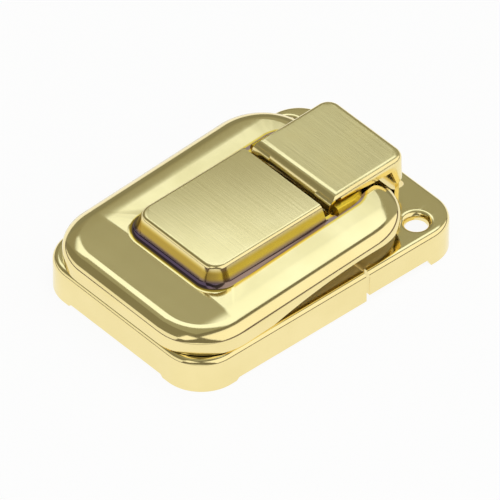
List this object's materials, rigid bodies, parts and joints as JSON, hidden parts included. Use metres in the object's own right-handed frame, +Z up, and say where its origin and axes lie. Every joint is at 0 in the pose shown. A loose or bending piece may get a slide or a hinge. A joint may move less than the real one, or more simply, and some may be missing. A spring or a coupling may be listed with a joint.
{
  "type": "toggle latch",
  "caption": "Drawn sheet-metal toggle latch: a covering lever with a pressed block, a claw hook in its slit, a base with fulcrum arms and a slotted keeper that the claw draws in.",
  "frame": {"origin": "middle of the footprint, on the mounting plane under the corner feet", "axes": "+X from the lever's free end towards the keeper, +Y across the latch, +Z up out of the mounting plane"},
  "size_m": [0.0516, 0.0356, 0.0133],
  "materials": {
    "gold_sheet": "polished pale gold plating",
    "gold_inner": "plain gold plating",
    "pin_steel": "drawn wire"
  },
  "bodies": {
    "base": {"base_plate": "gold_sheet", "keeper_plate": "gold_sheet", "fulcrum_bracket": "gold_inner", "bracket_rivet_left": "gold_inner", "bracket_rivet_right": "gold_inner", "fulcrum_pin": "pin_steel"},
    "lever": {"lever": "gold_sheet", "lever_yoke": "gold_inner", "hook_pin": "pin_steel"},
    "hook": {"hook": "gold_sheet"}
  },
  "joints": [
    {"name": "lever_pivot", "type": "hinge", "parent": "base", "child": "lever", "pos_m": [0.0155, 0, 0.0088], "axis": [0, 1, 0], "range_deg": [0, 95]},
    {"name": "hook_pivot", "type": "hinge", "parent": "lever", "child": "hook", "pos_m": [0.009, 0, 0.0109], "axis": [0, 1, 0], "range_deg": [-95, 0]}
  ],
  "couplings": [
    {"joint": "hook_pivot", "follows": "lever_pivot", "ratio": -1}
  ]
}
